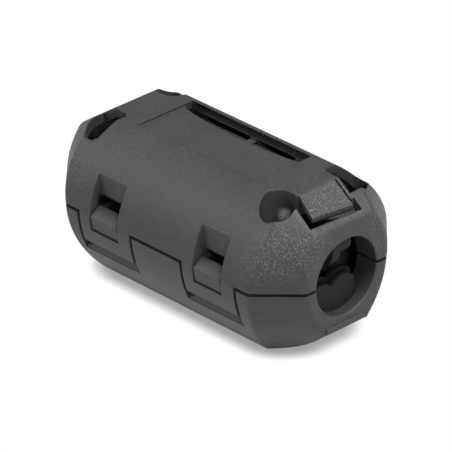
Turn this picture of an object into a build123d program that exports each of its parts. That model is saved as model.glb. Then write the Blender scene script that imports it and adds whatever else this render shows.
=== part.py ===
from build123d import *
import os

# Clip-on ferrite bead: two moulded shells hinged along one long side, each
# holding half of a ferrite core, closed by two snap straps on the other side.
# X runs along the cable, the straps are on the -Y side and the hinge on the
# +Y side. The origin is the middle of the flat underside. All sizes are in mm.

# Outer form, measured from the cable axis
BODY_LENGTH = 43.3
CREASE_HALF_WIDTH = 12.2
TOP_HEIGHT = 10.7
TOP_HALF_WIDTH = 5.6
TOP_HALF_LENGTH = 16.55
BOTTOM_DEPTH = 10.75
BOTTOM_HALF_WIDTH = 6.45
BOTTOM_HALF_LENGTH = 13.0
RIDGE_HEIGHT = 7.1
FOOT_RISE = 3.83
CORNER_REACH = 20.27
CORNER_TOP_REACH = 15.2
CORNER_FOOT_MARGIN = 0.9
SIDE_BULGE = 1.33
CORNER_BULGE = 1.7
CORNER_BOTTOM_BULGE = 1.35
END_BULGE = 0.9
FOLD_RADIUS = 0.9
RIDGE_RADIUS = 1.6
CORNER_RADIUS = 1.0
END_CORNER_RADIUS = 1.2
WALL = 1.2
THIN_WALL = 0.6
PARTING_GAP = 0.44

# Proud lip along the foot of each end
LIP_PROUD = 0.15
LIP_HEIGHT = 0.77
LIP_HALF_WIDTH = 3.6

# Cable entry at each end
ENTRY_RADIUS = 5.25
ENTRY_DEPTH = 3.5
ENTRY_EDGE = 0.3

# Ferrite core and the ribs that hold it
CORE_LENGTH = 24.6
CORE_HALF_WIDTH = 8.6
CORE_HALF_HEIGHT = 8.9
CORE_SHOULDER = 4.2
CORE_CROWN_HALF_WIDTH = 5.0
CORE_BORE_RADIUS = 5.4
CORE_EDGE = 0.4
CORE_ROUND = 0.8
CORE_CLEARANCE = 0.1
CORE_RIB_PLACES = (-8.0, 0.0, 8.0)
RIB_THICKNESS = 1.0

# Snap straps, their windows and their noses
LATCH_X = 9.35
STRAP_WIDTH = 9.1
STRAP_THICKNESS = 1.0
STRAP_DROP = 4.3
STRAP_GAP = 0.15
STRAP_SIDE_GAP = 0.5
POCKET_DEPTH = 5.8
WINDOW_WIDTH = 5.05
WINDOW_SHIFT = -0.2
WINDOW_BOTTOM = 2.05
WINDOW_HEAD = 1.9
WINDOW_HEAD_ROUND = 0.8
WINDOW_TOP = 5.6
WINDOW_INSET = 1.85
NOSE_CLEARANCE = 0.2
NOSE_SINK = 0.05
NOSE_HEIGHT = 1.15
NOSE_CREST_RISE = 0.6
NOSE_CREST_SET = 0.65
NOSE_TOP_SET = 1.7
NOSE_SLOPE_OUT = 0.35
NOSE_BACK = 0.7

# Hinge on the far side
HINGE_OFFSET = 0.35
HINGE_GAP = 0.15
HINGE_ARM = 4.0
HINGE_ARM_RISE = 0.3
HINGE_ARM_SHARE = 0.95
HINGE_ARM_SET = 0.1
KNUCKLE_RADIUS = 1.25
KNUCKLE_WIDTH = 3.4
LUG_WIDTH = 2.2
PIN_RADIUS = 0.6
PIN_CLEARANCE = 0.1
PIN_SHARE = 0.8

# Slot round the spring tongue, as setbacks from the end and places across
SLOT_FLOOR = 6.5
SLOT_BACK = 5.15
SLOT_FRONT = 1.34
SLOT_LEFT = -5.0
SLOT_RIGHT = 3.0
SLOT_CORNERS = ((SLOT_BACK, SLOT_LEFT), (SLOT_FRONT, -5.17), (1.0, 3.52), (2.5, 3.52),
                (2.5, SLOT_RIGHT), (SLOT_BACK, SLOT_RIGHT), (SLOT_BACK, 2.71),
                (1.83, 2.74), (2.33, -3.92), (SLOT_BACK, -3.42))

# Key well beside the tongue
KEY_HOLE_SETBACK = 6.25
KEY_HOLE_Y = -5.9
KEY_HOLE_RADIUS = 2.37
KEY_HOLE_FLOOR = 4.6
KEY_PILOT_RADIUS = 1.3
KEY_BOSS_WALL = 0.7
KEY_CONE = 1.6

# Open notch on the other side of the tongue, as setbacks and places across
NOTCH_FLOOR = 4.6
NOTCH_INNER = 3.45
NOTCH_CORNERS = ((7.95, 4.2), (7.75, 5.85), (6.85, 8.0), (6.15, 8.4), (4.75, 8.5),
                 (3.15, 6.35), (3.05, NOTCH_INNER), (7.2, NOTCH_INNER))

# Recess in the top face and the slot along its hinge side
RECESS_START = -11.15
RECESS_END = 10.25
RECESS_NEAR = -4.5
RECESS_FAR = 5.0
RECESS_DEPTH = 0.4
RECESS_CROWN = 0.25
SCOOP_END_Y = 3.4
SCOOP_MIDDLE_Y = 2.05
SCOOP_CORNER = 0.55
SCOOP_DEPTH = 1.5
SCOOP_LEAN = 1.5
SCOOP_LEAN_DEPTH = 1.15

# Cable grips in the entries, as places across the cable and heights
GRIP_THICKNESS = 0.7
GRIP_SETBACK = 1.6
GRIP_SPACING = 0.4
GRIP_STEP = 0.45
GRIP_SHIFT = 0.4
GRIP_LEDGE = -0.7
GRIP_LEDGE_END = (-2.0, -0.95)
GRIP_NICK = (-0.9, -1.7)
GRIP_PEAK = (1.05, -0.7)
GRIP_SHOULDER = (2.8, -1.4)
GRIP_FOOT = 3.6

# Tab and hooked blade that hang in the entries
TAB_LEFT = -2.4
TAB_RIGHT = 0.7
TAB_DROP = 1.3
TAB_ROUND = 0.5
TAB_SETBACK = 0.15
TAB_THICKNESS = 0.9
BLADE_WIDTH = 1.3
BLADE_ROOT = 0.6
BLADE_LOW = 2.1
BLADE_LEAN = 0.25
BLADE_KNEE = 1.0
BLADE_HOOK = 0.7
BLADE_TOE = 0.2
BLADE_HOLLOW = 0.1
BLADE_HOLLOW_DROP = 0.7

# Helpers for cutting and for picking edges
OVER = 60.0
NEAR = 0.05
LONG_EDGE = 8.0
BEYOND = 1.0

# Places that follow from the sizes above
HALF_LENGTH = BODY_LENGTH / 2
LIP_DEPTH = BOTTOM_DEPTH - FOOT_RISE
CORNER_BOTTOM_REACH = (BOTTOM_HALF_LENGTH + BOTTOM_HALF_WIDTH) / 2 ** 0.5 + CORNER_FOOT_MARGIN
CORE_SIDE = CORE_HALF_WIDTH + CORE_CLEARANCE
LATCH_PLACES = (-LATCH_X, LATCH_X)
POCKET_WIDTH = STRAP_WIDTH + 2 * STRAP_SIDE_GAP
HINGE_PLACES = (-LATCH_X, LATCH_X)
HINGE_Y = CREASE_HALF_WIDTH + HINGE_OFFSET
KEY_HOLE_X = HALF_LENGTH - KEY_HOLE_SETBACK


def polygon(points):
    """A flat face with straight edges through the points."""
    return make_face(Polyline(*points, close=True))


def end_polygon(corners, floor):
    """A prism above floor, from corners given as setbacks from the +X end."""
    points = [(HALF_LENGTH - setback, across) for setback, across in corners]
    return extrude(Plane.XY.offset(floor) * polygon(points), OVER / 2)


def bulged_line(start, end, bulge):
    """Arc from start to end, standing out by bulge on the right of the travel."""
    first = Vector(*start)
    last = Vector(*end)
    along = (last - first).normalized()
    middle = (first + last) * 0.5 + Vector(along.Y, -along.X) * bulge
    return ThreePointArc(first, middle, last)


def closed_face(edges):
    return make_face(Wire(edges))


def section_profile():
    """Cross section on the Y-Z plane, a six-sided barrel with a crease each side."""
    right = (CREASE_HALF_WIDTH, 0)
    left = (-CREASE_HALF_WIDTH, 0)
    top_right = (TOP_HALF_WIDTH, TOP_HEIGHT)
    top_left = (-TOP_HALF_WIDTH, TOP_HEIGHT)
    bottom_left = (-BOTTOM_HALF_WIDTH, -BOTTOM_DEPTH)
    bottom_right = (BOTTOM_HALF_WIDTH, -BOTTOM_DEPTH)
    face = closed_face([
        bulged_line(right, top_right, SIDE_BULGE),
        Line(top_right, top_left),
        bulged_line(top_left, left, SIDE_BULGE),
        bulged_line(left, bottom_left, SIDE_BULGE),
        Line(bottom_left, bottom_right),
        bulged_line(bottom_right, right, SIDE_BULGE),
    ])
    folds = face.vertices().filter_by(lambda v: abs(v.Y) > NEAR)
    return fillet(folds, FOLD_RADIUS)


def end_profile():
    """Side view on the X-Z plane, with sloped top ends and rolled bottom ends."""
    half = HALF_LENGTH
    face = closed_face([
        Line((half, -LIP_DEPTH), (half, RIDGE_HEIGHT)),
        Line((half, RIDGE_HEIGHT), (TOP_HALF_LENGTH, TOP_HEIGHT)),
        Line((TOP_HALF_LENGTH, TOP_HEIGHT), (-TOP_HALF_LENGTH, TOP_HEIGHT)),
        Line((-TOP_HALF_LENGTH, TOP_HEIGHT), (-half, RIDGE_HEIGHT)),
        Line((-half, RIDGE_HEIGHT), (-half, -LIP_DEPTH)),
        bulged_line((-half, -LIP_DEPTH), (-BOTTOM_HALF_LENGTH, -BOTTOM_DEPTH), END_BULGE),
        Line((-BOTTOM_HALF_LENGTH, -BOTTOM_DEPTH), (BOTTOM_HALF_LENGTH, -BOTTOM_DEPTH)),
        bulged_line((BOTTOM_HALF_LENGTH, -BOTTOM_DEPTH), (half, -LIP_DEPTH), END_BULGE),
    ])
    ridges = face.vertices().filter_by(lambda v: abs(v.Y - RIDGE_HEIGHT) < NEAR)
    return fillet(ridges, RIDGE_RADIUS)


def corner_profile():
    """Outline across two opposite corners, which lean in above and below the crease."""
    right = (CORNER_REACH, 0)
    left = (-CORNER_REACH, 0)
    top_right = (CORNER_TOP_REACH, TOP_HEIGHT)
    top_left = (-CORNER_TOP_REACH, TOP_HEIGHT)
    bottom_left = (-CORNER_BOTTOM_REACH, -BOTTOM_DEPTH)
    bottom_right = (CORNER_BOTTOM_REACH, -BOTTOM_DEPTH)
    return closed_face([
        bulged_line(right, top_right, CORNER_BULGE),
        Line(top_right, top_left),
        bulged_line(top_left, left, CORNER_BULGE),
        bulged_line(left, bottom_left, CORNER_BOTTOM_BULGE),
        Line(bottom_left, bottom_right),
        bulged_line(bottom_right, right, CORNER_BOTTOM_BULGE),
    ])


def prism(plane, face):
    return extrude(plane * face, OVER / 2, both=True)


def outer_block(inset=0.0):
    """The whole case as one block, or the space left inside walls of inset."""
    faces = [section_profile(), end_profile(), corner_profile(), corner_profile()]
    if inset > 0:
        faces = [offset(face, -inset, kind=Kind.INTERSECTION) for face in faces]
    rising = Plane(origin=(0, 0, 0), x_dir=(1, 1, 0), z_dir=(1, -1, 0))
    falling = Plane(origin=(0, 0, 0), x_dir=(1, -1, 0), z_dir=(-1, -1, 0))
    block = prism(Plane.YZ, faces[0])
    block = block & prism(Plane.XZ, faces[1])
    block = block & prism(rising, faces[2])
    block = block & prism(falling, faces[3])
    return block


def rounded_half(block, side):
    """One half of the block with its upright corner edges softened."""
    half = block & side
    side_edges = [e for e in half.edges() if e.geom_type == GeomType.BSPLINE
                  and e.length > LONG_EDGE and abs(e.center().Y) > TOP_HALF_WIDTH]
    half = fillet(side_edges, CORNER_RADIUS)
    end_edges = [e for e in half.edges() if abs(e.center().X) > HALF_LENGTH - NEAR
                 and abs(e.center().Z) > PARTING_GAP and e.length > ENTRY_RADIUS
                 and abs(e.center().Y) > NEAR]
    return fillet(end_edges, END_CORNER_RADIUS)


def slab(x_range, y_range, z_range):
    """A box given by its limits along X, Y and Z."""
    sizes = [high - low for low, high in (x_range, y_range, z_range)]
    middles = [(high + low) / 2 for low, high in (x_range, y_range, z_range)]
    return Pos(*middles) * Box(*sizes)


def rod(radius, x_range, y=0.0, z=0.0):
    """A cylinder along X."""
    low, high = x_range
    return Pos((low + high) / 2, y, z) * Rot(0, 90, 0) * Cylinder(radius, high - low)


def both_ends(part):
    """The part and its copy turned half round about the upright axis."""
    return part + Rot(0, 0, 180) * part


BLOCK = outer_block()
CAVITY = outer_block(WALL)
CAVITY_SKIN = outer_block(WALL / 2)
TONGUE_SKIN = outer_block(THIN_WALL)
STRAP_BED = outer_block(STRAP_THICKNESS)
POCKET_BED = outer_block(STRAP_THICKNESS + STRAP_GAP)
UPPER_SIDE = slab((-OVER, OVER), (-OVER, OVER), (PARTING_GAP / 2, OVER))
LOWER_SIDE = slab((-OVER, OVER), (-OVER, OVER), (-OVER, -PARTING_GAP / 2))
UPPER_CASE = rounded_half(BLOCK, UPPER_SIDE)
LOWER_CASE = rounded_half(BLOCK, LOWER_SIDE)


def core_outline(half_width, shoulder, crown_half_width, half_height):
    """Half of the core's outer section, standing on the parting line."""
    return closed_face([
        Line((-half_width, 0), (half_width, 0)),
        Line((half_width, 0), (half_width, shoulder)),
        Line((half_width, shoulder), (crown_half_width, half_height)),
        Line((crown_half_width, half_height), (-crown_half_width, half_height)),
        Line((-crown_half_width, half_height), (-half_width, shoulder)),
        Line((-half_width, shoulder), (-half_width, 0)),
    ])


def ferrite_core(upper):
    """One ground half of the core, with half of the cable channel."""
    face = core_outline(CORE_HALF_WIDTH, CORE_SHOULDER, CORE_CROWN_HALF_WIDTH, CORE_HALF_HEIGHT)
    corners = face.vertices().filter_by(lambda v: v.Y > NEAR)
    face = fillet(corners, CORE_ROUND)
    core = extrude(Plane.YZ * face, CORE_LENGTH / 2, both=True)
    core = core - rod(CORE_BORE_RADIUS, (-OVER, OVER))
    rims = [e for e in core.edges() if abs(abs(e.center().X) - CORE_LENGTH / 2) < NEAR
            and e.center().Z > NEAR]
    core = chamfer(rims, CORE_EDGE)
    return core if upper else Rot(180, 0, 0) * core


def core_envelope():
    """Both halves of the core as one block, grown by the fitting clearance."""
    grow = CORE_CLEARANCE
    face = core_outline(CORE_HALF_WIDTH + grow, CORE_SHOULDER + grow,
                        CORE_CROWN_HALF_WIDTH + grow, CORE_HALF_HEIGHT + grow)
    half = extrude(Plane.YZ * face, CORE_LENGTH / 2 + grow, both=True)
    return half + Rot(180, 0, 0) * half


def core_supports():
    """Cross ribs and end bulkheads that hold the core inside both shells."""
    ribs = []
    for x in CORE_RIB_PLACES:
        ribs.append(slab((x - RIB_THICKNESS / 2, x + RIB_THICKNESS / 2), (-OVER, OVER), (-OVER, OVER)))
    stop = CORE_LENGTH / 2 + CORE_CLEARANCE
    bulkhead = slab((stop, stop + RIB_THICKNESS), (-OVER, OVER), (-OVER, OVER))
    bulkhead = bulkhead - rod(CORE_BORE_RADIUS, (0, OVER))
    ribs.append(both_ends(bulkhead))
    solid = ribs[0]
    for rib in ribs[1:]:
        solid = solid + rib
    return (solid & CAVITY_SKIN) - core_envelope()


def entry_ring():
    """The thick collar behind each end face, before its hole is cut."""
    ring = rod(ENTRY_RADIUS + WALL, (HALF_LENGTH - ENTRY_DEPTH, HALF_LENGTH))
    return both_ends(ring)


def entry_holes():
    hole = rod(ENTRY_RADIUS, (HALF_LENGTH - ENTRY_DEPTH - BEYOND, HALF_LENGTH + BEYOND))
    return both_ends(hole)


def soften_entries(shell):
    """Round the outer rim of each cable entry."""
    rims = [e for e in shell.edges() if e.geom_type == GeomType.CIRCLE
            and abs(abs(e.center().X) - HALF_LENGTH) < NEAR and abs(e.radius - ENTRY_RADIUS) < NEAR]
    return fillet(rims, ENTRY_EDGE)


def lower_grip(front, shift, rise):
    """A rib with a humped edge that bears on the cable from below."""
    left = -ENTRY_RADIUS - WALL / 2
    floor = -ENTRY_RADIUS - WALL

    def moved(point):
        return (point[0] + shift, point[1] + rise)

    foot = (GRIP_FOOT + shift, floor)
    ledge = (left, GRIP_LEDGE + rise)
    face = closed_face([
        Line((left, floor), foot),
        Line(foot, moved(GRIP_SHOULDER)),
        ThreePointArc(moved(GRIP_SHOULDER), moved(GRIP_PEAK), moved(GRIP_NICK)),
        Line(moved(GRIP_NICK), moved(GRIP_LEDGE_END)),
        Line(moved(GRIP_LEDGE_END), ledge),
        Line(ledge, (left, floor)),
    ])
    plate = extrude(Plane.YZ * face, OVER / 2, both=True)
    keep = rod(ENTRY_RADIUS + WALL / 2, (front - GRIP_THICKNESS, front))
    return plate & keep


def lower_grips():
    first = HALF_LENGTH - GRIP_SETBACK
    second = first - GRIP_THICKNESS - GRIP_SPACING
    return both_ends(lower_grip(first, 0.0, 0.0) + lower_grip(second, GRIP_SHIFT, GRIP_STEP))


def upper_finger():
    """A short tab hanging in the entry, with a hooked blade behind its left side."""
    top = ENTRY_RADIUS + WALL / 2
    low = ENTRY_RADIUS - TAB_DROP
    front = HALF_LENGTH - TAB_SETBACK
    back = front - TAB_THICKNESS
    root = low + BLADE_ROOT
    face = polygon([(TAB_LEFT, low), (TAB_RIGHT, low), (TAB_RIGHT, top), (TAB_LEFT, top)])
    face = fillet(face.vertices().filter_by(lambda v: v.Y < low + NEAR), TAB_ROUND)
    tab = extrude(Plane.YZ * face, OVER / 2, both=True) & slab((back, front), (-OVER, OVER), (0, OVER))
    toe = (back - BLADE_HOOK, BLADE_LOW + BLADE_TOE)
    blade = closed_face([
        Line((front, root), (front, low)),
        ThreePointArc((front, low), (front - BLADE_LEAN, low - BLADE_KNEE), (back, BLADE_LOW)),
        Line((back, BLADE_LOW), toe),
        ThreePointArc(toe, (back - BLADE_HOLLOW, low - BLADE_HOLLOW_DROP), (back, root)),
        Line((back, root), (front, root)),
    ])
    blade = extrude(Plane.XZ * blade, OVER / 2, both=True)
    blade = blade & slab((0, OVER), (TAB_LEFT, TAB_LEFT + BLADE_WIDTH), (0, OVER))
    return both_ends((tab + blade) & rod(ENTRY_RADIUS + WALL / 2, (0, OVER)))


def hinge_profile(reach_up):
    """A knuckle about the hinge axis with its arm along the shell's side wall."""
    side = 1 if reach_up else -1
    outer_y = HINGE_Y + KNUCKLE_RADIUS * HINGE_ARM_SHARE
    root_y = CREASE_HALF_WIDTH - WALL
    arm = closed_face([
        Line((outer_y, side * HINGE_ARM_RISE), (root_y, side * HINGE_ARM)),
        Line((root_y, side * HINGE_ARM), (root_y - WALL / 2, side * HINGE_ARM)),
        Line((root_y - WALL / 2, side * HINGE_ARM), (root_y + HINGE_ARM_SET, side * PARTING_GAP / 2)),
        Line((root_y + HINGE_ARM_SET, side * PARTING_GAP / 2), (outer_y, side * HINGE_ARM_RISE)),
    ])
    return arm + Pos(HINGE_Y, 0) * Circle(KNUCKLE_RADIUS)


def hinge_piece(reach_up, x_range):
    low, high = x_range
    return extrude(Plane.YZ * hinge_profile(reach_up), OVER / 2, both=True) & slab(
        (low, high), (0, OVER), (-OVER, OVER))


def lug_ranges():
    """X limits of the four lugs of the lower shell."""
    near = KNUCKLE_WIDTH / 2 + HINGE_GAP
    ranges = []
    for x in HINGE_PLACES:
        ranges.append((x - near - LUG_WIDTH, x - near))
        ranges.append((x + near, x + near + LUG_WIDTH))
    return ranges


def knuckle_ranges():
    return [(x - KNUCKLE_WIDTH / 2, x + KNUCKLE_WIDTH / 2) for x in HINGE_PLACES]


def hinge_relief(ranges):
    """Room round the other shell's knuckles."""
    relief = None
    for low, high in ranges:
        piece = rod(KNUCKLE_RADIUS + HINGE_GAP, (low - HINGE_GAP, high + HINGE_GAP), HINGE_Y)
        relief = piece if relief is None else relief + piece
    return relief


def hinge_pads(side):
    """Thicker wall behind the hinge, so that the relief leaves a full wall."""
    pads = None
    half = KNUCKLE_WIDTH / 2 + HINGE_GAP + LUG_WIDTH + WALL
    z_range = (0, HINGE_ARM) if side > 0 else (-HINGE_ARM, 0)
    for x in HINGE_PLACES:
        pad = slab((x - half, x + half), (CORE_SIDE, CREASE_HALF_WIDTH), z_range)
        pads = pad if pads is None else pads + pad
    return pads & CAVITY_SKIN


def latch_boxes(width, y_range, z_range, shift=0.0):
    """One box of the given width at each latch."""
    boxes = None
    for x in LATCH_PLACES:
        middle = x + shift
        piece = slab((middle - width / 2, middle + width / 2), y_range, z_range)
        boxes = piece if boxes is None else boxes + piece
    return boxes


def pocket_cutters():
    """Shallow pockets in the lower shell that the straps lie in."""
    boxes = latch_boxes(POCKET_WIDTH, (-OVER, 0), (-POCKET_DEPTH, OVER))
    return boxes - POCKET_BED


def latch_backs(width, z_range):
    """A thicker wall behind each latch, carried in as far as the core."""
    y_range = (-CREASE_HALF_WIDTH, -CORE_SIDE)
    return latch_boxes(width + 2 * WALL, y_range, z_range) & CAVITY_SKIN


def noses():
    """Rounded catches on the pocket floors that show in the strap windows."""
    fold_y = -CREASE_HALF_WIDTH + NOSE_SINK
    low = -WINDOW_BOTTOM + NOSE_CLEARANCE
    crest = (-CREASE_HALF_WIDTH + NOSE_CREST_SET, NOSE_CREST_RISE)
    top = (-CREASE_HALF_WIDTH + NOSE_TOP_SET, NOSE_HEIGHT)
    back_y = top[0] + NOSE_BACK
    face = closed_face([
        Line((fold_y + NOSE_SLOPE_OUT, low), (back_y, low)),
        Line((back_y, low), (top[0], 0)),
        Line((top[0], 0), top),
        ThreePointArc(top, crest, (fold_y, 0)),
        Line((fold_y, 0), (fold_y + NOSE_SLOPE_OUT, low)),
    ])
    strip = extrude(Plane.YZ * face, OVER / 2, both=True)
    width = WINDOW_WIDTH - 2 * NOSE_CLEARANCE
    return strip & latch_boxes(width, (-OVER, 0), (-OVER, OVER), WINDOW_SHIFT)


def window_cutters():
    """Openings above the crease, under an upright flat that rounds in to the head."""
    flat_y = -CREASE_HALF_WIDTH + WINDOW_INSET
    head = WINDOW_HEAD
    rounding = WINDOW_HEAD_ROUND
    share = rounding * (1 - 0.5 ** 0.5)
    face = closed_face([
        Line((-OVER / 2, -BEYOND), (-CORE_SIDE, -BEYOND)),
        Line((-CORE_SIDE, -BEYOND), (-CORE_SIDE, head)),
        Line((-CORE_SIDE, head), (flat_y + rounding, head)),
        ThreePointArc((flat_y + rounding, head), (flat_y + share, head + share),
                      (flat_y, head + rounding)),
        Line((flat_y, head + rounding), (flat_y, WINDOW_TOP)),
        Line((flat_y, WINDOW_TOP), (-OVER / 2, WINDOW_TOP)),
        Line((-OVER / 2, WINDOW_TOP), (-OVER / 2, -BEYOND)),
    ])
    strip = extrude(Plane.YZ * face, OVER / 2, both=True)
    return strip & latch_boxes(WINDOW_WIDTH, (-OVER, 0), (-OVER, OVER), WINDOW_SHIFT)


def latch_strap(x):
    """One strap: two legs and a bar below the crease, round its window."""
    body = slab((x - STRAP_WIDTH / 2, x + STRAP_WIDTH / 2), (-OVER, 0), (-STRAP_DROP, PARTING_GAP / 2))
    body = (body & BLOCK) - STRAP_BED
    middle = x + WINDOW_SHIFT
    window = slab((middle - WINDOW_WIDTH / 2, middle + WINDOW_WIDTH / 2), (-OVER, 0),
                  (-WINDOW_BOTTOM, OVER))
    return body - window


def end_slots():
    """The slot round the spring tongue and the hollow that thins it from below."""
    hollow = slab((HALF_LENGTH - SLOT_BACK, HALF_LENGTH - SLOT_FRONT),
                  (SLOT_LEFT, SLOT_RIGHT), (SLOT_FLOOR, OVER)) & TONGUE_SKIN
    return end_polygon(SLOT_CORNERS, SLOT_FLOOR) + hollow


def key_boss():
    return Pos(KEY_HOLE_X, KEY_HOLE_Y, OVER / 2 + KEY_HOLE_FLOOR - WALL) * Cylinder(
        KEY_HOLE_RADIUS + KEY_BOSS_WALL, OVER)


def key_hole():
    """The round key well with a coned floor and a pilot hole."""
    well = Pos(KEY_HOLE_X, KEY_HOLE_Y, KEY_HOLE_FLOOR + KEY_CONE + OVER / 2) * Cylinder(
        KEY_HOLE_RADIUS, OVER)
    cone = Pos(KEY_HOLE_X, KEY_HOLE_Y, KEY_HOLE_FLOOR + KEY_CONE / 2) * Cone(
        KEY_PILOT_RADIUS, KEY_HOLE_RADIUS, KEY_CONE)
    pilot = Pos(KEY_HOLE_X, KEY_HOLE_Y, KEY_HOLE_FLOOR) * Cylinder(KEY_PILOT_RADIUS, 2 * WALL + BEYOND)
    return well + cone + pilot


def notch_floor():
    """A shelf under the corner notch, clear of the cable."""
    shelf = slab((CORE_LENGTH / 2, HALF_LENGTH), (NOTCH_INNER - WALL, OVER),
                 (NOTCH_FLOOR - WALL, NOTCH_FLOOR))
    return shelf - rod(CORE_BORE_RADIUS, (0, OVER))


def corner_notch():
    return end_polygon(NOTCH_CORNERS, NOTCH_FLOOR)


def top_recess():
    """The shallow crowned recess and the deep slot along its hinge side."""
    floor = TOP_HEIGHT - RECESS_DEPTH
    above = TOP_HEIGHT + BEYOND
    middle = (RECESS_START + RECESS_END) / 2
    face = closed_face([
        Line((RECESS_START, floor), (RECESS_START, above)),
        Line((RECESS_START, above), (RECESS_END, above)),
        Line((RECESS_END, above), (RECESS_END, floor)),
        ThreePointArc((RECESS_END, floor), (middle, floor + RECESS_CROWN), (RECESS_START, floor)),
    ])
    tray = extrude(Plane.XZ * face, OVER / 2, both=True)
    tray = tray & slab((-OVER, OVER), (RECESS_NEAR, RECESS_FAR), (0, OVER))
    corner_x = RECESS_START + SCOOP_CORNER
    corner_y = SCOOP_END_Y + SCOOP_CORNER
    scoop_face = closed_face([
        Line((RECESS_START, RECESS_FAR), (RECESS_START, corner_y)),
        Line((RECESS_START, corner_y), (corner_x, SCOOP_END_Y)),
        ThreePointArc((corner_x, SCOOP_END_Y), (middle, SCOOP_MIDDLE_Y), (RECESS_END, SCOOP_END_Y)),
        Line((RECESS_END, SCOOP_END_Y), (RECESS_END, RECESS_FAR)),
        Line((RECESS_END, RECESS_FAR), (RECESS_START, RECESS_FAR)),
    ])
    scoop = extrude(Plane.XY.offset(TOP_HEIGHT - SCOOP_DEPTH) * scoop_face, SCOOP_DEPTH + BEYOND)
    lean_low = TOP_HEIGHT - SCOOP_LEAN_DEPTH
    lean = polygon([(RECESS_FAR, TOP_HEIGHT), (RECESS_FAR, lean_low),
                    (RECESS_FAR + SCOOP_LEAN, lean_low)])
    lean = extrude(Plane.YZ * lean, OVER / 2, both=True)
    return tray + scoop + (lean & slab((RECESS_START, RECESS_END), (0, OVER), (0, OVER)))


def lower_shell():
    """The lower shell with its pockets, noses, lugs, lips and grips."""
    shell = LOWER_CASE - CAVITY
    inside = core_supports() + latch_backs(POCKET_WIDTH, (-POCKET_DEPTH - WALL, 0))
    inside = inside + hinge_pads(-1) + entry_ring()
    shell = shell + (inside & LOWER_CASE)
    shell = shell - entry_holes()
    shell = soften_entries(shell)
    shell = shell + (lower_grips() & LOWER_SIDE)
    shell = shell - pocket_cutters()
    shell = shell - core_envelope()
    for x_range in lug_ranges():
        shell = shell + hinge_piece(False, x_range)
        shell = shell - rod(PIN_RADIUS + PIN_CLEARANCE, (x_range[0] - BEYOND, x_range[1] + BEYOND), HINGE_Y)
    shell = shell - hinge_relief(knuckle_ranges())
    shell = shell + noses()
    return shell + end_lips()


def end_lips():
    """A thin proud lip along the foot of each end face."""
    lip = slab((HALF_LENGTH - WALL, HALF_LENGTH + LIP_PROUD), (-LIP_HALF_WIDTH, LIP_HALF_WIDTH),
               (-LIP_DEPTH, -LIP_DEPTH + LIP_HEIGHT))
    return both_ends(lip)


def upper_shell():
    """The upper shell with its windows, tongues, key wells, recess and knuckles."""
    shell = UPPER_CASE - CAVITY
    boss = both_ends((key_boss() + notch_floor()) & CAVITY_SKIN)
    inside = core_supports() + hinge_pads(1) + entry_ring() + boss
    inside = inside + latch_backs(POCKET_WIDTH, (0, WINDOW_TOP + WALL))
    shell = shell + (inside & UPPER_CASE)
    shell = shell - entry_holes()
    shell = soften_entries(shell)
    shell = shell + upper_finger()
    shell = shell - window_cutters()
    shell = shell - core_envelope()
    shell = shell - both_ends(end_slots() + key_hole() + corner_notch())
    shell = shell - top_recess()
    for x_range in knuckle_ranges():
        shell = shell + hinge_piece(True, x_range)
    shell = shell - hinge_relief(lug_ranges())
    for low, high in knuckle_ranges():
        reach = HINGE_GAP + LUG_WIDTH * PIN_SHARE
        shell = shell + rod(PIN_RADIUS, (low - reach, high + reach), HINGE_Y)
    return shell


def save(part, name):
    """Lift a piece from the cable axis to the underside frame and write it."""
    placed = Pos(0, 0, BOTTOM_DEPTH) * part
    placed.label = name
    export_step(placed, f"parts/{name}.step")
    print(name, len(placed.solids()), round(placed.volume, 1), placed.bounding_box())


def main():
    os.makedirs("parts", exist_ok=True)
    save(lower_shell(), "lower_shell")
    save(upper_shell(), "upper_shell")
    save(ferrite_core(False), "ferrite_core_lower")
    save(ferrite_core(True), "ferrite_core_upper")
    save(latch_strap(-LATCH_X), "latch_strap_left")
    save(latch_strap(LATCH_X), "latch_strap_right")


if __name__ == "__main__":
    main()
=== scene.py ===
# %% [markdown]
# # A clip-on ferrite bead
#
# A black plastic case about 43 mm long holds two half rings of ferrite. It
# closes round a cable, and the ferrite damps electrical noise on the cable.
#
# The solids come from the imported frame, one object for each moulding. This
# lesson gives them their finish and sets the camera, the lights and the floor.

# %% Load the frame
import math

import bpy
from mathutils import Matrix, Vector


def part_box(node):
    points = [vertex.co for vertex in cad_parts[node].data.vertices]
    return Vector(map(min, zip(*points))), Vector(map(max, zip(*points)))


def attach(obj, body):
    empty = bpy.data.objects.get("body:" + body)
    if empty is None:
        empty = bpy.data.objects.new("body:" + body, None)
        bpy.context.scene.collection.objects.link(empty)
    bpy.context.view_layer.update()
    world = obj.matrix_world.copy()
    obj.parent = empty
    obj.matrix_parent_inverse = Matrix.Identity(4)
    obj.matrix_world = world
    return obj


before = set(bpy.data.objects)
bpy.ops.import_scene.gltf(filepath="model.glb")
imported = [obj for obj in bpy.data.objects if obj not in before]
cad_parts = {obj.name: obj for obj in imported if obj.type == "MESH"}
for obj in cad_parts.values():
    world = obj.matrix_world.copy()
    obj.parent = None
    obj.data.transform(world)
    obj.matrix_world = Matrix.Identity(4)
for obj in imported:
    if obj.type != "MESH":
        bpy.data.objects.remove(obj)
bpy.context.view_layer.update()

MM = 0.001
CASE_NODES = ("lower_shell", "upper_shell")
STRAP_NODES = ("latch_strap_left", "latch_strap_right")
CORE_NODES = ("ferrite_core_lower", "ferrite_core_upper")
scene = bpy.context.scene
print("nodes:", sorted(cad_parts))

# %% [markdown]
# ## The camera
#
# The scale, the distance, the two angles and the place of the cable axis in
# the frame were fitted to points on the picture. The fit puts the camera about
# 62 cm away, so parallel edges draw together only a little. The distance goes
# with the model's size, which is itself an estimate.

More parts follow.
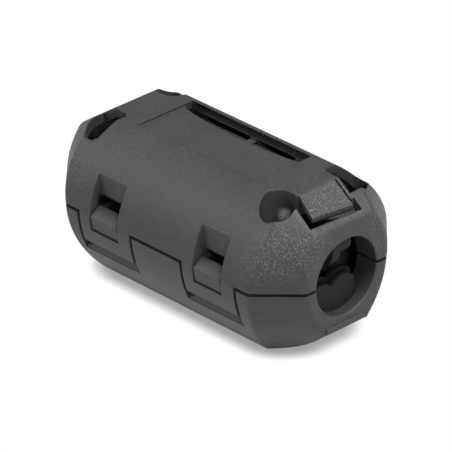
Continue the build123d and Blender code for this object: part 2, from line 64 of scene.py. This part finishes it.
# %% Camera
FRAME_PIXELS = 452
PIXELS_PER_MM = 7.915
AZIMUTH = math.radians(45.79)
ELEVATION = math.radians(28.44)
DISTANCE = 0.6232
SENSOR_WIDTH = 36.0
CLIP_NEAR = 0.01
CLIP_FAR = 10.0
AXIS_HEIGHT = 10.75 * MM
AXIS_PIXEL = (225.02, 217.08)


def camera_axes():
    """The directions towards the viewer, to the right and up in the picture."""
    towards = Vector((math.cos(ELEVATION) * math.sin(AZIMUTH),
                      -math.cos(ELEVATION) * math.cos(AZIMUTH),
                      math.sin(ELEVATION)))
    right = Vector((math.cos(AZIMUTH), math.sin(AZIMUTH), 0.0))
    return towards, right, towards.cross(right)


def place_camera():
    towards, right, up = camera_axes()
    mm_per_pixel = MM / PIXELS_PER_MM
    middle = FRAME_PIXELS / 2
    aim = Vector((0.0, 0.0, AXIS_HEIGHT))
    aim -= right * (AXIS_PIXEL[0] - middle) * mm_per_pixel
    aim += up * (AXIS_PIXEL[1] - middle) * mm_per_pixel
    data = bpy.data.cameras.new("photo_camera")
    data.sensor_width = SENSOR_WIDTH
    data.lens = SENSOR_WIDTH * DISTANCE / (FRAME_PIXELS * mm_per_pixel)
    data.clip_start = CLIP_NEAR
    data.clip_end = CLIP_FAR
    camera = bpy.data.objects.new("photo_camera", data)
    camera.location = aim + towards * DISTANCE
    camera.rotation_euler = (-towards).to_track_quat("-Z", "Y").to_euler()
    scene.collection.objects.link(camera)
    scene.camera = camera
    return camera


camera = place_camera()
print("lens in mm:", round(camera.data.lens))

# %% [markdown]
# ## Node helpers
#
# A material is a small graph. Short helpers keep each graph readable. They add
# a node, join two sockets, do one sum, fade a mask in and mix two values.

# %% Node helpers
def add_node(tree, kind, **inputs):
    """Add a node and set its inputs by name, with spaces written as underscores."""
    node = tree.nodes.new(kind)
    for name, value in inputs.items():
        node.inputs[name.replace("_", " ")].default_value = value
    return node


def join(tree, source, target):
    tree.links.new(source, target)


def feed(tree, value, target):
    """Join a socket to the target, or set the target to a plain value."""
    if isinstance(value, bpy.types.NodeSocket):
        join(tree, value, target)
    else:
        target.default_value = value


def maths(tree, operation, first, second=None):
    """One Math node, whose inputs are sockets or plain numbers."""
    node = tree.nodes.new("ShaderNodeMath")
    node.operation = operation
    feed(tree, first, node.inputs[0])
    if second is not None:
        feed(tree, second, node.inputs[1])
    return node.outputs[0]


def fade(tree, value, start, end):
    """0 before start and 1 after end, also where start is the larger."""
    node = add_node(tree, "ShaderNodeMapRange", From_Min=start, From_Max=end)
    join(tree, value, node.inputs["Value"])
    return node.outputs[0]


def spread(tree, share, low, high):
    """A share from 0 to 1, spread from low to high."""
    node = add_node(tree, "ShaderNodeMapRange", To_Min=low, To_Max=high)
    join(tree, share, node.inputs["Value"])
    return node.outputs[0]


def mix(tree, kind, first, second, share):
    """Between two colours (RGBA) or two numbers (FLOAT), by a share from 0 to 1."""
    node = tree.nodes.new("ShaderNodeMix")
    node.data_type = kind
    feed(tree, first, node.inputs["A"])
    feed(tree, second, node.inputs["B"])
    join(tree, share, node.inputs["Factor"])
    return node.outputs["Result"]


def object_axes(tree, place):
    """The three coordinates of a place on the object."""
    split = tree.nodes.new("ShaderNodeSeparateXYZ")
    join(tree, place, split.inputs[0])
    return split.outputs["X"], split.outputs["Y"], split.outputs["Z"]


def new_material(name):
    """An empty node material with its output."""
    material = bpy.data.materials.new(name)
    material.use_nodes = True
    tree = material.node_tree
    tree.nodes.clear()
    output = tree.nodes.new("ShaderNodeOutputMaterial")
    return material, tree, output


# %% [markdown]
# ## The floor and the light
#
# The product stands on white, with a short soft shade close to its lower
# edges. The floor reflects the lamps for the object, while the camera sees a
# white that darkens only where the object covers the floor, so the shade does
# not follow the lamps. Glossy surfaces mirror that white too. The reach and the
# depth of the shade were tuned to the photograph's tones, and so were the lamps.

# %% Floor
FLOOR_SIZE = 6.0
FLOOR_COLOUR = (0.62, 0.62, 0.62, 1.0)
SHADOW_REACH = 2.6 * MM
SHADOW_RANGE = (0.25, 0.70)
SHADOW_TONE = 0.35


def seen_directly(tree):
    """1 for rays that come from the camera or from a glossy surface."""
    path = tree.nodes.new("ShaderNodeLightPath")
    return maths(tree, "MAXIMUM", path.outputs["Is Camera Ray"], path.outputs["Is Glossy Ray"])


def floor_material():
    """White where it is seen, with a soft shade close under the object."""
    material, tree, output = new_material("white_floor")
    diffuse = add_node(tree, "ShaderNodeBsdfDiffuse", Color=FLOOR_COLOUR)
    cover = add_node(tree, "ShaderNodeAmbientOcclusion", Distance=SHADOW_REACH)
    shade = add_node(tree, "ShaderNodeMapRange", From_Min=SHADOW_RANGE[0], From_Max=SHADOW_RANGE[1],
                     To_Min=SHADOW_TONE, To_Max=1.0)
    join(tree, cover.outputs["AO"], shade.inputs["Value"])
    glow = add_node(tree, "ShaderNodeEmission")
    join(tree, shade.outputs[0], glow.inputs["Strength"])
    mixed = tree.nodes.new("ShaderNodeMixShader")
    join(tree, seen_directly(tree), mixed.inputs[0])
    join(tree, diffuse.outputs[0], mixed.inputs[1])
    join(tree, glow.outputs[0], mixed.inputs[2])
    join(tree, mixed.outputs[0], output.inputs["Surface"])
    return material


def make_floor():
    half = FLOOR_SIZE / 2
    mesh = bpy.data.meshes.new("floor")
    corners = [(-half, -half, 0), (half, -half, 0), (half, half, 0), (-half, half, 0)]
    mesh.from_pydata(corners, [], [(0, 1, 2, 3)])
    mesh.materials.append(floor_material())
    floor = bpy.data.objects.new("floor", mesh)
    scene.collection.objects.link(floor)
    return floor


floor = make_floor()
print("floor side in m:", FLOOR_SIZE)

# %% World and lamps
WORLD_STRENGTH = 0.10
LAMPS = {
    "top_softbox": ((0.22, 0.10, 0.85), 0.36, 12.4),
    "left_softbox": ((-0.75, -0.62, 0.45), 0.30, 4.4),
    "end_softbox": ((0.75, -0.42, 0.50), 0.20, 4.0),
}


def make_world():
    world = bpy.data.worlds.new("studio")
    world.use_nodes = True
    tree = world.node_tree
    background = tree.nodes["Background"]
    path = tree.nodes.new("ShaderNodeLightPath")
    lit = mix(tree, "FLOAT", WORLD_STRENGTH, 1.0, path.outputs["Is Camera Ray"])
    join(tree, lit, background.inputs["Strength"])
    background.inputs["Color"].default_value = (1.0, 1.0, 1.0, 1.0)
    scene.world = world


def add_lamp(name, place, size, power):
    data = bpy.data.lights.new(name, "AREA")
    data.shape = "SQUARE"
    data.size = size
    data.energy = power
    lamp = bpy.data.objects.new(name, data)
    lamp.location = place
    aim = Vector((0.0, 0.0, AXIS_HEIGHT)) - Vector(place)
    lamp.rotation_euler = aim.to_track_quat("-Z", "Y").to_euler()
    scene.collection.objects.link(lamp)


make_world()
for name, (place, size, power) in LAMPS.items():
    add_lamp(name, place, size, power)
scene.view_settings.view_transform = "Standard"
print("lamps:", len(LAMPS))

# %% [markdown]
# ## The moulded texture
#
# The photograph shows an even, fine grain on the case, and a coarser one that
# glitters on the near upper corner and the near tongue. The other upper corners
# and the far tongue are given the same. A noise at each size gives the height,
# and a mask made from the place on the object says where the coarse one shows.
# The crests of one more noise are painted lighter, as glints.

# %% Texture group
GRAIN_GROUP = "moulded_grain"
FINE_SCALE = 6500.0
COARSE_SCALE = 5200.0
CLOUD_SCALE = 180.0
GLINT_START = 0.56
GLINT_FULL = 0.66


def make_grain_group():
    group = bpy.data.node_groups.new(GRAIN_GROUP, "ShaderNodeTree")
    for name, value in (("Fine Scale", FINE_SCALE), ("Coarse Scale", COARSE_SCALE), ("Coarse Share", 0.0)):
        socket = group.interface.new_socket(name, in_out="INPUT", socket_type="NodeSocketFloat")
        socket.default_value = value
    for name in ("Height", "Tone", "Glint"):
        group.interface.new_socket(name, in_out="OUTPUT", socket_type="NodeSocketFloat")
    inputs = group.nodes.new("NodeGroupInput")
    outputs = group.nodes.new("NodeGroupOutput")
    place = group.nodes.new("ShaderNodeTexCoord")
    fine = add_node(group, "ShaderNodeTexNoise", Detail=2.0, Roughness=0.6)
    coarse = add_node(group, "ShaderNodeTexNoise", Detail=3.0, Roughness=0.65)
    cloud = add_node(group, "ShaderNodeTexNoise", Scale=CLOUD_SCALE, Detail=3.0)
    specks = add_node(group, "ShaderNodeTexNoise", Detail=1.0)
    for noise in (fine, coarse, cloud, specks):
        join(group, place.outputs["Object"], noise.inputs["Vector"])
    join(group, inputs.outputs["Fine Scale"], fine.inputs["Scale"])
    join(group, inputs.outputs["Coarse Scale"], coarse.inputs["Scale"])
    join(group, inputs.outputs["Coarse Scale"], specks.inputs["Scale"])
    height = mix(group, "FLOAT", fine.outputs[0], coarse.outputs[0], inputs.outputs["Coarse Share"])
    glint = fade(group, specks.outputs[0], GLINT_START, GLINT_FULL)
    join(group, height, outputs.inputs["Height"])
    join(group, cloud.outputs[0], outputs.inputs["Tone"])
    join(group, glint, outputs.inputs["Glint"])
    return group


grain_group = make_grain_group()
print("group sockets:", [item.name for item in grain_group.interface.items_tree])

# %% [markdown]
# ## Where the grain is coarse
#
# The coarse grain covers the upper corners and the tongues. A mask from the
# place on the object keeps it there on the solids as they are, with no new
# faces. Its limits are settings for the looks, with no reading behind them.

# %% Coarse grain mask
CORNER_START = 24.0 * MM
CORNER_FULL = 27.0 * MM
CORNER_RISE = (1.0 * MM, 4.0 * MM)
TONGUE_START = 16.6 * MM
TONGUE_HALF_WIDTH = 3.6 * MM
TONGUE_HEIGHT = 18.0 * MM
TONGUE_FADE = 0.4 * MM


def coarse_mask(tree, place):
    """1 on the upper corners and on the spring tongues, which share a coarse grain."""
    x, y, height = object_axes(tree, place)
    along = maths(tree, "ABSOLUTE", x)
    across = maths(tree, "ABSOLUTE", y)
    reach = fade(tree, maths(tree, "ADD", along, across), CORNER_START, CORNER_FULL)
    rise = fade(tree, height, AXIS_HEIGHT + CORNER_RISE[0], AXIS_HEIGHT + CORNER_RISE[1])
    corner = maths(tree, "MULTIPLY", reach, rise)
    beyond = fade(tree, along, TONGUE_START, TONGUE_START + TONGUE_FADE)
    within = fade(tree, across, TONGUE_HALF_WIDTH + TONGUE_FADE, TONGUE_HALF_WIDTH)
    above = fade(tree, height, TONGUE_HEIGHT, TONGUE_HEIGHT + TONGUE_FADE)
    tongue = maths(tree, "MULTIPLY", maths(tree, "MULTIPLY", beyond, within), above)
    return maths(tree, "MAXIMUM", corner, tongue)


print("coarse corners start in mm:", round(CORNER_START / MM, 1))

# %% [markdown]
# ## The key wells and the entries
#
# The photograph shows a bright spot in the near key well. What causes it can't be told; the wall gets a
# painted highlight there, a lighter colour that stands in for the spot, and the far well repeats it. Rays
# cast through the spot's pixels gave its wall and about its height. How the painted highlight fades out is a
# choice. The well's place is the solid's own. The inside of the entries is much darker than the case in the
# photograph, where shade falls, so a second mask finds the plastic in there and paints that shade into its
# colour.

# %% Well and entry masks
WELL_PLACE = (15.4 * MM, -5.9 * MM)
WELL_RADIUS = 2.45 * MM
HIGHLIGHT_ALONG = (-1.8 * MM, -0.8 * MM, -0.5 * MM, 0.1 * MM)
HIGHLIGHT_ACROSS = (1.4 * MM, 2.0 * MM)
HIGHLIGHT_HEIGHTS = (16.6 * MM, 17.3 * MM, 18.0 * MM, 19.1 * MM)
ENTRY_EDGE = (5.32 * MM, 5.20 * MM)


def band(tree, value, limits):
    """0 outside four rising limits, 1 between the middle two."""
    start = fade(tree, value, limits[0], limits[1])
    end = fade(tree, value, limits[3], limits[2])
    return maths(tree, "MULTIPLY", start, end)


def sum_of_squares(tree, first, second):
    return maths(tree, "ADD", maths(tree, "MULTIPLY", first, first), maths(tree, "MULTIPLY", second, second))


def painted_highlight_mask(tree, place):
    """1 on the part of each key well's wall that gets the painted highlight."""
    x, y, height = object_axes(tree, place)
    lit = None
    for turn in (1, -1):
        along = maths(tree, "SUBTRACT", maths(tree, "MULTIPLY", x, turn), WELL_PLACE[0])
        across = maths(tree, "SUBTRACT", maths(tree, "MULTIPLY", y, turn), WELL_PLACE[1])
        inside = maths(tree, "LESS_THAN", sum_of_squares(tree, along, across), WELL_RADIUS ** 2)
        far_wall = maths(tree, "MULTIPLY", inside, fade(tree, across, HIGHLIGHT_ACROSS[0], HIGHLIGHT_ACROSS[1]))
        side = maths(tree, "MULTIPLY", far_wall, band(tree, along, HIGHLIGHT_ALONG))
        lit = side if lit is None else maths(tree, "MAXIMUM", lit, side)
    return maths(tree, "MULTIPLY", lit, band(tree, height, HIGHLIGHT_HEIGHTS))


def entry_shade_mask(tree, place):
    """1 nearer to the cable's axis than the wall of the entries, where shade is painted."""
    _, y, height = object_axes(tree, place)
    rise = maths(tree, "SUBTRACT", height, AXIS_HEIGHT)
    return fade(tree, maths(tree, "SQRT", sum_of_squares(tree, y, rise)), ENTRY_EDGE[0], ENTRY_EDGE[1])


print("key well at mm:", [round(value / MM, 1) for value in WELL_PLACE])

# %% [markdown]
# ## The case plastic
#
# The case is dark grey in studio light, with a soft sheen. Its edges look slightly rounded, and the Bevel
# node rounds the shading there, so the solids need no extra faces. The grain drives the colour, with painted
# glints, the gloss and the bump, and the masks paint a highlight on the key well's wall and paint shade
# inside the entries.

# %% Case plastic
EDGE_RADIUS = 0.24 * MM
EDGE_SAMPLES = 6
PLASTIC_DARK = (0.030, 0.030, 0.031, 1.0)
PLASTIC_LIGHT = (0.043, 0.043, 0.044, 1.0)
PLASTIC_IOR = 1.5
PLASTIC_SPECULAR = 0.35
PLASTIC_ROUGHNESS = (0.42, 0.56)
GRAIN_DEPTH = 0.09 * MM
GRAIN_STRENGTH = (0.55, 1.0)
# Painted glints: lighter specks on the grain's crests, in place of light glittering off it.
GLINT_COLOUR = (0.16, 0.16, 0.165, 1.0)
GLINT_SHARE = (0.14, 0.62)
# Painted highlight: the light colour laid on the key wells' wall.
PAINTED_HIGHLIGHT_COLOUR = (0.75, 0.75, 0.76, 1.0)
# Painted shade: the dark colour laid inside the entries, where shade falls.
ENTRY_SHADE_COLOUR = (0.008, 0.008, 0.008, 1.0)
ENTRY_ROUGHNESS = 0.75


def add_grain(tree, fine_scale):
    grain = tree.nodes.new("ShaderNodeGroup")
    grain.node_tree = grain_group
    grain.inputs["Fine Scale"].default_value = fine_scale
    return grain


def rounded_edges(tree, samples):
    bevel = tree.nodes.new("ShaderNodeBevel")
    bevel.samples = samples
    bevel.inputs["Radius"].default_value = EDGE_RADIUS
    return bevel.outputs[0]


def plastic_colour(tree, place, grain, coarse, entry_shade):
    """The grain's tone, with painted glints, the key well's painted highlight and painted shade in the
    entries.
    """
    tone = mix(tree, "RGBA", PLASTIC_DARK, PLASTIC_LIGHT, grain.outputs["Tone"])
    amount = spread(tree, coarse, GLINT_SHARE[0], GLINT_SHARE[1])
    shown = maths(tree, "MULTIPLY", amount, grain.outputs["Glint"])
    with_painted_glints = mix(tree, "RGBA", tone, GLINT_COLOUR, shown)
    # Painted highlight on the key well, then painted shade inside the entries.
    with_painted_highlight = mix(tree, "RGBA", with_painted_glints, PAINTED_HIGHLIGHT_COLOUR, painted_highlight_mask(tree, place))
    return mix(tree, "RGBA", with_painted_highlight, ENTRY_SHADE_COLOUR, entry_shade)


def plastic_material():
    material, tree, output = new_material("case_plastic")
    place = tree.nodes.new("ShaderNodeTexCoord").outputs["Object"]
    grain = add_grain(tree, FINE_SCALE)
    coarse = coarse_mask(tree, place)
    join(tree, coarse, grain.inputs["Coarse Share"])
    entry_shade = entry_shade_mask(tree, place)
    rough = spread(tree, grain.outputs["Tone"], PLASTIC_ROUGHNESS[0], PLASTIC_ROUGHNESS[1])
    bump = add_node(tree, "ShaderNodeBump", Distance=GRAIN_DEPTH)
    join(tree, spread(tree, coarse, GRAIN_STRENGTH[0], GRAIN_STRENGTH[1]), bump.inputs["Strength"])
    join(tree, grain.outputs["Height"], bump.inputs["Height"])
    join(tree, rounded_edges(tree, EDGE_SAMPLES), bump.inputs["Normal"])
    shader = add_node(tree, "ShaderNodeBsdfPrincipled", IOR=PLASTIC_IOR, Specular_IOR_Level=PLASTIC_SPECULAR)
    join(tree, plastic_colour(tree, place, grain, coarse, entry_shade), shader.inputs["Base Color"])
    join(tree, mix(tree, "FLOAT", rough, ENTRY_ROUGHNESS, entry_shade), shader.inputs["Roughness"])
    join(tree, bump.outputs[0], shader.inputs["Normal"])
    join(tree, shader.outputs[0], output.inputs["Surface"])
    return material


case_plastic = plastic_material()
print("edge radius in mm:", EDGE_RADIUS / MM)

# %% [markdown]
# ## The ferrite
#
# Ferrite is pressed powder, fired like pottery. The photograph hardly shows it,
# so its finish here is a guess: almost black, faintly shiny and finely pitted.

# %% Ferrite
FERRITE_DARK = (0.016, 0.016, 0.018, 1.0)
FERRITE_LIGHT = (0.034, 0.034, 0.037, 1.0)
FERRITE_GRAIN_SCALE = 3800.0
FERRITE_EDGE_SAMPLES = 4
FERRITE_IOR = 1.5
FERRITE_SPECULAR = 0.3
FERRITE_ROUGHNESS = 0.68
FERRITE_BUMP = 0.5
PIT_SCALE = 2500.0
PIT_EDGE = 0.18


def ferrite_material():
    material, tree, output = new_material("ferrite")
    place = tree.nodes.new("ShaderNodeTexCoord").outputs["Object"]
    grain = add_grain(tree, FERRITE_GRAIN_SCALE)
    pits = add_node(tree, "ShaderNodeTexVoronoi", Scale=PIT_SCALE)
    join(tree, place, pits.inputs["Vector"])
    hollow = fade(tree, pits.outputs["Distance"], 0.0, PIT_EDGE)
    height = maths(tree, "MULTIPLY", hollow, grain.outputs["Height"])
    bump = add_node(tree, "ShaderNodeBump", Distance=GRAIN_DEPTH, Strength=FERRITE_BUMP)
    join(tree, height, bump.inputs["Height"])
    join(tree, rounded_edges(tree, FERRITE_EDGE_SAMPLES), bump.inputs["Normal"])
    shader = add_node(tree, "ShaderNodeBsdfPrincipled", IOR=FERRITE_IOR, Roughness=FERRITE_ROUGHNESS,
                      Specular_IOR_Level=FERRITE_SPECULAR)
    join(tree, mix(tree, "RGBA", FERRITE_DARK, FERRITE_LIGHT, height), shader.inputs["Base Color"])
    join(tree, bump.outputs[0], shader.inputs["Normal"])
    join(tree, shader.outputs[0], output.inputs["Surface"])
    return material


ferrite = ferrite_material()
print("ferrite pits across in mm:", round(1 / PIT_SCALE / MM, 2))

# %% [markdown]
# ## The feet of the strap pockets
#
# In the photograph lit plastic starts close under each strap, below a thin dark
# line. The solids end the pocket there with a step. A wedge fills it from the
# strap's lower edge to the pocket's lip. Its two ends lie within 0.05 mm of the
# solids' own faces, and the straight slope between them is a guess. Geometry
# Nodes set it at both straps, whose width and spacing come from the frame.

# %% Pocket feet
STRAP_BOXES = [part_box(name) for name in STRAP_NODES]
STRAP_MIDDLES = [(low[0] + high[0]) / 2 for low, high in STRAP_BOXES]
LATCH_COUNT = len(STRAP_NODES)
LATCH_SPACING = abs(STRAP_MIDDLES[1] - STRAP_MIDDLES[0])
STRAP_SIDE_GAP = 0.5 * MM
STRAP_FOOT_GAP = 0.15 * MM
POCKET_WIDTH = STRAP_BOXES[0][1][0] - STRAP_BOXES[0][0][0] + 2 * STRAP_SIDE_GAP
POCKET_LIP_HEIGHT = 4.95 * MM
FOOT_LIP = (-10.58 * MM, POCKET_LIP_HEIGHT)
FOOT_HEAD = (-9.97 * MM, STRAP_BOXES[0][0][2] - STRAP_FOOT_GAP)
FOOT_BACK = (-9.2 * MM, POCKET_LIP_HEIGHT)


def foot_mesh():
    """One wedge, as a three-sided prism along the cable, at the first latch."""
    mesh = bpy.data.meshes.new("pocket_foot")
    middle = min(STRAP_MIDDLES)
    points = []
    for x in (middle - POCKET_WIDTH / 2, middle + POCKET_WIDTH / 2):
        for across, height in (FOOT_LIP, FOOT_HEAD, FOOT_BACK):
            points.append((x, across, height))
    faces = [(0, 1, 2), (5, 4, 3), (0, 3, 4, 1), (1, 4, 5, 2), (2, 5, 3, 0)]
    mesh.from_pydata(points, [], faces)
    return mesh


def repeat_group():
    """Copies of the geometry in a row, made real and given a material."""
    group = bpy.data.node_groups.new("repeat_in_a_row", "GeometryNodeTree")
    sockets = {}
    for name, kind in (("Geometry", "Geometry"), ("Count", "Int"), ("Spacing", "Float"),
                       ("Material", "Material")):
        sockets[name] = group.interface.new_socket(name, in_out="INPUT", socket_type="NodeSocket" + kind)
    group.interface.new_socket("Geometry", in_out="OUTPUT", socket_type="NodeSocketGeometry")
    inputs = group.nodes.new("NodeGroupInput")
    outputs = group.nodes.new("NodeGroupOutput")
    offset = group.nodes.new("ShaderNodeCombineXYZ")
    row = group.nodes.new("GeometryNodeMeshLine")
    row.mode = "OFFSET"
    copies = group.nodes.new("GeometryNodeInstanceOnPoints")
    real = group.nodes.new("GeometryNodeRealizeInstances")
    finish = group.nodes.new("GeometryNodeSetMaterial")
    join(group, inputs.outputs["Spacing"], offset.inputs["X"])
    join(group, inputs.outputs["Count"], row.inputs["Count"])
    join(group, offset.outputs[0], row.inputs["Offset"])
    join(group, row.outputs["Mesh"], copies.inputs["Points"])
    join(group, inputs.outputs["Geometry"], copies.inputs["Instance"])
    join(group, copies.outputs["Instances"], real.inputs["Geometry"])
    join(group, real.outputs["Geometry"], finish.inputs["Geometry"])
    join(group, inputs.outputs["Material"], finish.inputs["Material"])
    join(group, finish.outputs["Geometry"], outputs.inputs["Geometry"])
    return group, sockets


def make_pocket_feet():
    source = bpy.data.objects.new("pocket_feet_source", foot_mesh())
    scene.collection.objects.link(source)
    modifier = source.modifiers.new("row", "NODES")
    modifier.node_group, sockets = repeat_group()
    modifier[sockets["Count"].identifier] = LATCH_COUNT
    modifier[sockets["Spacing"].identifier] = LATCH_SPACING
    modifier[sockets["Material"].identifier] = case_plastic
    depsgraph = bpy.context.evaluated_depsgraph_get()
    mesh = bpy.data.meshes.new_from_object(source.evaluated_get(depsgraph))
    bpy.data.objects.remove(source)
    feet = bpy.data.objects.new("pocket_feet", mesh)
    scene.collection.objects.link(feet)
    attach(feet, "base")
    return feet


pocket_feet = make_pocket_feet()
print("spacing in mm:", round(LATCH_SPACING / MM, 2), "width:", round(POCKET_WIDTH / MM, 2))

# %% [markdown]
# ## Dressing the solids
#
# Each solid keeps its shape. Only the material in its slot changes.

# %% Dress the nodes
def dress(names, material):
    for name in names:
        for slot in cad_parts[name].material_slots:
            slot.material = material


dress(CASE_NODES + STRAP_NODES, case_plastic)
dress(CORE_NODES, ferrite)
print("dressed:", len(CASE_NODES + STRAP_NODES + CORE_NODES), "nodes")
